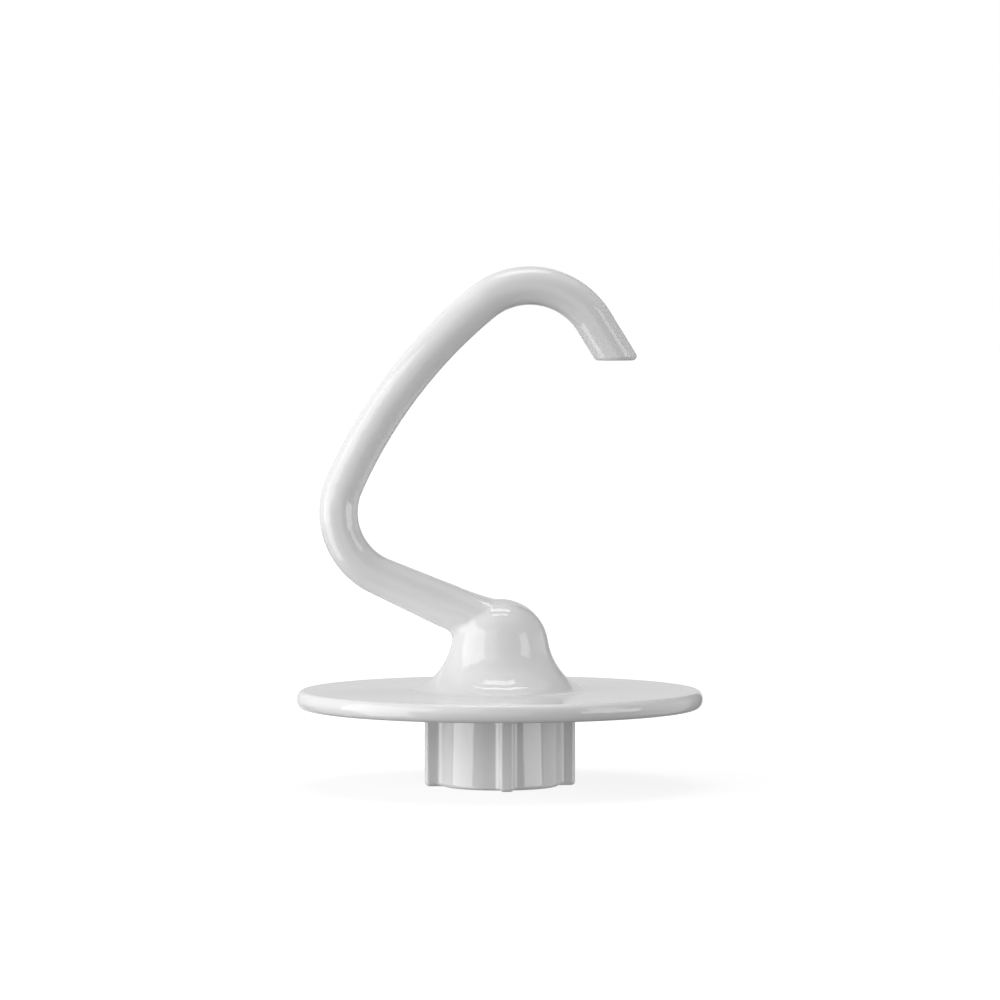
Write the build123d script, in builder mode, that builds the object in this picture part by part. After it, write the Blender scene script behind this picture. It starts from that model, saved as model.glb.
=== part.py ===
from build123d import *
from math import acos, atan2, cos, degrees, hypot, isclose, sin, sqrt
import os

# A stand mixer's dough hook, cast in one piece and coated white, standing on the end of its drive hub.
# Millimetres, +Z up. The origin is the centre of the hub's end face, on the shaft's axis. The arm lies in
# the XZ plane: its back bend is towards -X, and its tip comes back over the dome towards +X.

# Hub, a round boss with grip ribs
hub_radius = 16.1
hub_height = 20.8
hub_edge_radius = 1.0
rib_count = 4
rib_tip_radius = 20.0
rib_thickness = 3.8
rib_crest_radius = 1.1
rib_root_radius = 1.5

# Socket for the mixer's shaft, with the L-shaped slot that the shaft's drive pin turns into
shaft_diameter = 12.7
shaft_clearance = 0.3
socket_depth = 38.0
socket_chamfer = 0.8
pin_diameter = 4.8
pin_clearance = 0.6
pin_slot_reach = 10.4
pin_slot_depth = 14.0
pin_slot_turn = 50.0

# Shield disc with an elliptical rim
disc_radius = 54.0
disc_thickness = 4.7
rim_reach = 1.65

# Dome over the socket, with a flare down to the disc
dome_radius = 12.9
dome_centre_height = 11.3
flare_radius = 17.0
flare_foot_radius = 22.9
flare_foot_blend = 4.0

# Arm: a round bar that runs out of the dome, bends back, rises in a long bow and turns down to its tip
arm_radius = 5.1
arm_neck_radius = 5.85
arm_root_cover = 0.5
arm_root_rise = 12.4
arm_root_bend_radius = 75.0
arm_root_bend_turn = 11.6
arm_root_blend = 3.0
lower_run_length = 19.2
back_bend_radius = 18.6
back_bend_turn = 90.1
bow_radius = 131.5
bow_turn = 26.5
top_bend_radius = 20.1
top_bend_turn = 97.7
tip_run_length = 12.2
tip_edge_radius = 1.2

disc_top = hub_height + disc_thickness
dome_centre = disc_top + dome_centre_height
socket_radius = (shaft_diameter + shaft_clearance) / 2
pin_slot_width = pin_diameter + pin_clearance

# The flare's arc touches the dome's from outside and ends at its foot on the disc. The dome's centre, the
# flare's centre and the foot make a triangle, and its angle at the dome gives where the two arcs touch.
dome_to_flare = dome_radius + flare_radius
dome_to_foot = hypot(flare_foot_radius, dome_centre_height)
foot_bearing = atan2(-dome_centre_height, flare_foot_radius)
foot_to_touch = acos(
    (dome_to_flare**2 + dome_to_foot**2 - flare_radius**2) / (2 * dome_to_flare * dome_to_foot)
)
touch_bearing = foot_bearing + foot_to_touch
touch_point = (dome_radius * cos(touch_bearing), dome_centre + dome_radius * sin(touch_bearing))
flare_foot = (flare_foot_radius, disc_top)
rim_centre = (disc_radius - rim_reach, hub_height + disc_thickness / 2)

# The arm's root starts inside the dome, just under the crown, as an oval with the crown's own curve on top.
arm_root_height = dome_centre + dome_radius - arm_root_cover - arm_neck_radius
arm_root_spread = sqrt(arm_neck_radius * dome_radius)
arm_mid_spread = sqrt(arm_root_spread * arm_neck_radius)


def corners_at(sketch, radius):
    """The corners of a sketch that lie at this distance from the shaft's axis."""
    return sketch.vertices().filter_by(lambda vertex: isclose(vertex.center().length, radius, rel_tol=1e-6))


with BuildPart() as dough_hook:
    # Disc, flare and dome, turned about the shaft's axis
    with BuildSketch(Plane.XZ) as half_section:
        with BuildLine():
            cap = CenterArc((0, dome_centre), dome_radius, 90, degrees(touch_bearing) - 90)
            RadiusArc(touch_point, flare_foot, -flare_radius)
            rim = EllipticalCenterArc(
                rim_centre,
                rim_reach,
                disc_thickness / 2,
                start_angle=-90,
                arc_size=180,
            )
            Line(flare_foot, rim @ 1)
            Polyline(rim @ 0, (0, hub_height), cap @ 0)
        make_face()
        fillet(half_section.vertices().sort_by_distance(flare_foot)[0], flare_foot_blend)
    revolve(axis=Axis.Z)

    # Hub and its ribs, rounded at the edge of the end face
    with BuildSketch() as hub_outline:
        Circle(hub_radius)
        with PolarLocations(0, rib_count):
            Rectangle(rib_tip_radius, rib_thickness, align=(Align.MIN, Align.CENTER))
        fillet(corners_at(hub_outline, hypot(rib_tip_radius, rib_thickness / 2)), rib_crest_radius)
        fillet(corners_at(hub_outline, hub_radius), rib_root_radius)
    extrude(amount=hub_height)
    end_face = dough_hook.faces().sort_by(Axis.Z)[0]
    fillet(end_face.outer_wire().edges(), hub_edge_radius)

    # Arm's root, which narrows from an oval inside the dome to a round neck, blended into the dome
    with BuildLine(Plane.XZ):
        root_heading = PolarLine((0, arm_root_height), arm_radius, 180 - arm_root_rise, mode=Mode.PRIVATE)
        root_bend = JernArc(root_heading @ 0, root_heading % 0, arm_root_bend_radius, -arm_root_bend_turn)
        lower_run = Line(root_bend @ 1, (root_bend @ 1) + (root_bend % 1) * lower_run_length)
    for place, spread in ((0, arm_root_spread), (0.5, arm_mid_spread), (1, arm_neck_radius)):
        with BuildSketch(Plane(origin=root_bend @ place, x_dir=(0, 1, 0), z_dir=root_bend % place)):
            Ellipse(spread, arm_neck_radius)
    sweep(path=root_bend, multisection=True)
    fillet(dough_hook.edges(Select.NEW), arm_root_blend)

    # Arm's lower run, tapered from the neck to the bar's size
    with Locations(Plane(origin=lower_run @ 0, z_dir=lower_run % 0)):
        Cone(
            arm_neck_radius,
            arm_radius,
            lower_run_length,
            align=(Align.CENTER, Align.CENTER, Align.MIN),
        )

    # Rest of the arm, one round bar through three bends that turn the same way
    with BuildLine(Plane.XZ) as bar_line:
        back_bend = JernArc(lower_run @ 1, lower_run % 1, back_bend_radius, -back_bend_turn)
        bow = JernArc(back_bend @ 1, back_bend % 1, bow_radius, -bow_turn)
        top_bend = JernArc(bow @ 1, bow % 1, top_bend_radius, -top_bend_turn)
        tip = (top_bend @ 1) + (top_bend % 1) * tip_run_length
        Line(top_bend @ 1, tip + (top_bend % 1) * arm_radius)
    with BuildSketch(Plane(origin=lower_run @ 1, z_dir=lower_run % 1)):
        Circle(arm_radius)
    sweep(path=bar_line.line)

    # Tip, cut level and rounded at its edge
    with Locations(tip):
        Box(
            4 * arm_radius,
            4 * arm_radius,
            2 * arm_radius,
            align=(Align.CENTER, Align.CENTER, Align.MAX),
            mode=Mode.SUBTRACT,
        )
    tip_face = dough_hook.faces().filter_by(Axis.Z).sort_by_distance(tip)[0]
    fillet(tip_face.edges(), tip_edge_radius)

    # Shaft socket with an eased mouth
    Cylinder(
        socket_radius,
        socket_depth,
        align=(Align.CENTER, Align.CENTER, Align.MIN),
        mode=Mode.SUBTRACT,
    )
    chamfer(dough_hook.faces().sort_by(Axis.Z)[0].inner_wires()[0].edges(), socket_chamfer)

    # Pin slot: in along the shaft at the back of the socket, then round to where the pin drives
    Box(
        pin_slot_width,
        pin_slot_reach,
        pin_slot_depth,
        align=(Align.CENTER, Align.MIN, Align.MIN),
        mode=Mode.SUBTRACT,
    )
    with BuildSketch(Plane.YZ):
        with Locations((0, pin_slot_depth)):
            Rectangle(pin_slot_reach, pin_slot_width, align=(Align.MIN, Align.MAX))
    revolve(axis=Axis.Z, revolution_arc=pin_slot_turn, mode=Mode.SUBTRACT)

dough_hook.part.label = "dough_hook"
os.makedirs("parts", exist_ok=True)
export_step(dough_hook.part, "parts/dough_hook.step")
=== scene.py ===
import math

import bpy
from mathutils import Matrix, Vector

# A white dough hook on a white studio floor.
# Metres, in the part's own frame: +Z up, with the end of the hub on Z = 0.

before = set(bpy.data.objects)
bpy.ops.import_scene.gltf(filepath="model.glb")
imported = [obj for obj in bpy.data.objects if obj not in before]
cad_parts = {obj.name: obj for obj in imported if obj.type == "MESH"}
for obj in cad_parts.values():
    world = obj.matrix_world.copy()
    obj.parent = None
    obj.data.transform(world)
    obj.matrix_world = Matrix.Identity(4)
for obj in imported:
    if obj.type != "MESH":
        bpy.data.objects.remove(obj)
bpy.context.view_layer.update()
scene = bpy.context.scene
scene.view_settings.view_transform = "Standard"

# Camera, low and a little to the left, with a long lens
AIM = Vector((0.0, 0.0, 0.07603))
CAMERA_DISTANCE = 1.400
CAMERA_AZIMUTH = math.radians(-5.5)
CAMERA_PITCH = math.radians(2.2)
LENS_MM = 189.65
SENSOR_MM = 36.0


def around(azimuth, elevation, distance):
    """A point seen from AIM: azimuth 0 is towards the camera's side, -Y, and grows towards +X."""
    flat = distance * math.cos(elevation)
    rise = distance * math.sin(elevation)
    return AIM + Vector((flat * math.sin(azimuth), -flat * math.cos(azimuth), rise))


def look_at(obj, point):
    obj.rotation_euler = (point - obj.location).to_track_quat("-Z", "Y").to_euler()


camera = bpy.data.objects.new("camera", bpy.data.cameras.new("camera"))
scene.collection.objects.link(camera)
camera.data.lens = LENS_MM
camera.data.sensor_width = SENSOR_MM
camera.data.clip_start = 0.05
camera.data.clip_end = 60.0
camera.location = around(CAMERA_AZIMUTH, CAMERA_PITCH, CAMERA_DISTANCE)
look_at(camera, AIM)
scene.camera = camera


def node_tree(owner):
    owner.use_nodes = True
    tree = owner.node_tree
    tree.nodes.clear()
    return tree


# White coating, glossy, with a slight change of tone and a faint orange peel
COAT_ROUGHNESS = 0.05
COAT_IOR = 1.52
TONE_DARK, TONE_PALE = 0.735, 0.765
TONE_SCALE = 60.0
PEEL_SCALE = 700.0
PEEL_STRENGTH = 0.06
PEEL_DEPTH = 0.0002
WELD_REACH = 1e-6


def white_coating():
    material = bpy.data.materials.new("white_coating")
    tree = node_tree(material)
    out = tree.nodes.new("ShaderNodeOutputMaterial")
    shader = tree.nodes.new("ShaderNodeBsdfPrincipled")
    shader.inputs["Roughness"].default_value = COAT_ROUGHNESS
    shader.inputs["IOR"].default_value = COAT_IOR
    where = tree.nodes.new("ShaderNodeTexCoord")
    tone = tree.nodes.new("ShaderNodeTexNoise")
    tone.inputs["Scale"].default_value = TONE_SCALE
    tone.inputs["Detail"].default_value = 3.0
    ramp = tree.nodes.new("ShaderNodeValToRGB")
    ramp.color_ramp.elements[0].color = (TONE_DARK, TONE_DARK, TONE_DARK, 1.0)
    ramp.color_ramp.elements[1].color = (TONE_PALE, TONE_PALE, TONE_PALE, 1.0)
    peel = tree.nodes.new("ShaderNodeTexNoise")
    peel.inputs["Scale"].default_value = PEEL_SCALE
    peel.inputs["Detail"].default_value = 1.0
    bump = tree.nodes.new("ShaderNodeBump")
    bump.inputs["Strength"].default_value = PEEL_STRENGTH
    bump.inputs["Distance"].default_value = PEEL_DEPTH
    link = tree.links.new
    link(where.outputs["Object"], tone.inputs["Vector"])
    link(where.outputs["Object"], peel.inputs["Vector"])
    link(tone.outputs["Fac"], ramp.inputs["Fac"])
    link(ramp.outputs["Color"], shader.inputs["Base Color"])
    link(peel.outputs["Fac"], bump.inputs["Height"])
    link(bump.outputs["Normal"], shader.inputs["Normal"])
    link(shader.outputs["BSDF"], out.inputs["Surface"])
    return material


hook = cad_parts["dough_hook"]
hook.data.materials.clear()
hook.data.materials.append(white_coating())
weld = hook.modifiers.new("weld", "WELD")
weld.merge_threshold = WELD_REACH
weighted = hook.modifiers.new("weighted", "WEIGHTED_NORMAL")
weighted.mode = "FACE_AREA"
weighted.keep_sharp = True

# Floor, white, with the object's faint shadow round the hub. It lies just clear of the hub's end face, and
# stops no light. Its glow is set lower near the object, which paints shade there; only its weak matt part
# takes the real shadow.
FLOOR_SIDE = 60.0
FLOOR_DROP = 0.0001
FLOOR_COLOUR = 0.20
# Painted shade: the floor's glow close to the object, and the distances in metres over which it rises to
# 1.
PAINTED_SHADE_GLOW = 0.86
PAINTED_SHADE_FROM, PAINTED_SHADE_TO = 0.06, 0.35


def white_floor():
    material = bpy.data.materials.new("floor")
    tree = node_tree(material)
    out = tree.nodes.new("ShaderNodeOutputMaterial")
    matt = tree.nodes.new("ShaderNodeBsdfDiffuse")
    matt.inputs["Color"].default_value = (FLOOR_COLOUR, FLOOR_COLOUR, FLOOR_COLOUR, 1.0)
    where = tree.nodes.new("ShaderNodeTexCoord")
    away = tree.nodes.new("ShaderNodeVectorMath")
    away.operation = "LENGTH"
    tree.links.new(where.outputs["Object"], away.inputs[0])
    # Painted shade round the hub: the glow rises from its lower level near the object to 1 further out.
    painted_shade_fade = tree.nodes.new("ShaderNodeMapRange")
    painted_shade_fade.interpolation_type = "SMOOTHSTEP"
    painted_shade_fade.inputs["From Min"].default_value = PAINTED_SHADE_FROM
    painted_shade_fade.inputs["From Max"].default_value = PAINTED_SHADE_TO
    painted_shade_fade.inputs["To Min"].default_value = PAINTED_SHADE_GLOW
    painted_shade_fade.inputs["To Max"].default_value = 1.0
    tree.links.new(away.outputs["Value"], painted_shade_fade.inputs["Value"])
    glow = tree.nodes.new("ShaderNodeEmission")
    tree.links.new(painted_shade_fade.outputs["Result"], glow.inputs["Strength"])
    both = tree.nodes.new("ShaderNodeAddShader")
    tree.links.new(matt.outputs["BSDF"], both.inputs[0])
    tree.links.new(glow.outputs["Emission"], both.inputs[1])
    tree.links.new(both.outputs["Shader"], out.inputs["Surface"])
    return material


bpy.ops.mesh.primitive_plane_add(size=FLOOR_SIDE, location=(0.0, 0.0, -FLOOR_DROP))
floor = bpy.context.object
floor.name = "floor"
floor.data.materials.append(white_floor())
floor.visible_shadow = False
floor.visible_diffuse = False
floor.visible_glossy = False

# World: white to the camera, and a low even fill for all other rays
FILL = 0.12
scene.world = bpy.data.worlds.new("studio")
tree = node_tree(scene.world)
out = tree.nodes.new("ShaderNodeOutputWorld")
sky = tree.nodes.new("ShaderNodeBackground")
sky.inputs["Color"].default_value = (1.0, 1.0, 1.0, 1.0)
path = tree.nodes.new("ShaderNodeLightPath")
level = tree.nodes.new("ShaderNodeMapRange")
level.inputs["To Min"].default_value = FILL
level.inputs["To Max"].default_value = 1.0
tree.links.new(path.outputs["Is Camera Ray"], level.inputs["Value"])
tree.links.new(level.outputs["Result"], sky.inputs["Strength"])
tree.links.new(sky.outputs["Background"], out.inputs["Surface"])

# Lamps. A brightness of 1 looks white. Angles are in degrees.
LAMP_DISTANCE = 1.6


def lamp(name, place, facing, width, height, brightness):
    data = bpy.data.lights.new(name, "AREA")
    data.shape = "RECTANGLE"
    data.size = width
    data.size_y = height
    data.energy = math.pi * width * height * brightness
    obj = bpy.data.objects.new(name, data)
    scene.collection.objects.link(obj)
    obj.location = place
    look_at(obj, Vector(facing))
    obj.visible_camera = False
    return obj


def standing(name, azimuths, elevations, brightness):
    """An upright lamp that fills these angles as the object sees them, with azimuths as in around()."""
    start, end = (math.radians(angle) for angle in azimuths)
    bottom, top = (AIM.z + LAMP_DISTANCE * math.tan(math.radians(angle)) for angle in elevations)
    angle = (start + end) / 2
    middle = (bottom + top) / 2
    width = 2 * LAMP_DISTANCE * math.tan((end - start) / 2)
    place = Vector((LAMP_DISTANCE * math.sin(angle), -LAMP_DISTANCE * math.cos(angle), middle))
    return lamp(name, place, (0.0, 0.0, middle), width, top - bottom, brightness)


def overhead(name, y, height, width, depth, brightness):
    return lamp(name, Vector((0.0, y, height)), (0.0, y, 0.0), width, depth, brightness)


standing("left_box", azimuths=(-105, -44), elevations=(6, 42), brightness=2.75)
standing("left_low", azimuths=(-105, -58), elevations=(-10, 6), brightness=3.4)
standing("left_floor", azimuths=(-95, -58), elevations=(-38, -10), brightness=2.6)
standing("back_left", azimuths=(-160, -105), elevations=(-10, 45), brightness=0.5)
standing("front_left", azimuths=(-44, -15), elevations=(0, 45), brightness=0.9)
standing("front", azimuths=(-15, 12), elevations=(-20, 20), brightness=0.6)
standing("right_strip", azimuths=(46, 69), elevations=(8, 30), brightness=2.4)
standing("right_low", azimuths=(40, 80), elevations=(-10, 8), brightness=3.3)
standing("right_box", azimuths=(84, 130), elevations=(-35, 15), brightness=0.6)
overhead("top_box", y=0.20, height=1.8, width=2.6, depth=2.0, brightness=0.6)
overhead("top_strip", y=0.00, height=1.3, width=0.6, depth=0.22, brightness=3.5)
overhead("back_strip", y=0.28, height=1.3, width=0.8, depth=0.27, brightness=3.7)

# A pale backdrop behind the object, which shows in its reflections only
BACKDROP_Y = 0.6
BACKDROP_MIDDLE = 0.45
backdrop = lamp(
    "backdrop",
    place=Vector((0.0, BACKDROP_Y, BACKDROP_MIDDLE)),
    facing=(0.0, 0.0, BACKDROP_MIDDLE),
    width=0.54,
    height=1.5,
    brightness=0.58,
)
backdrop.visible_diffuse = False
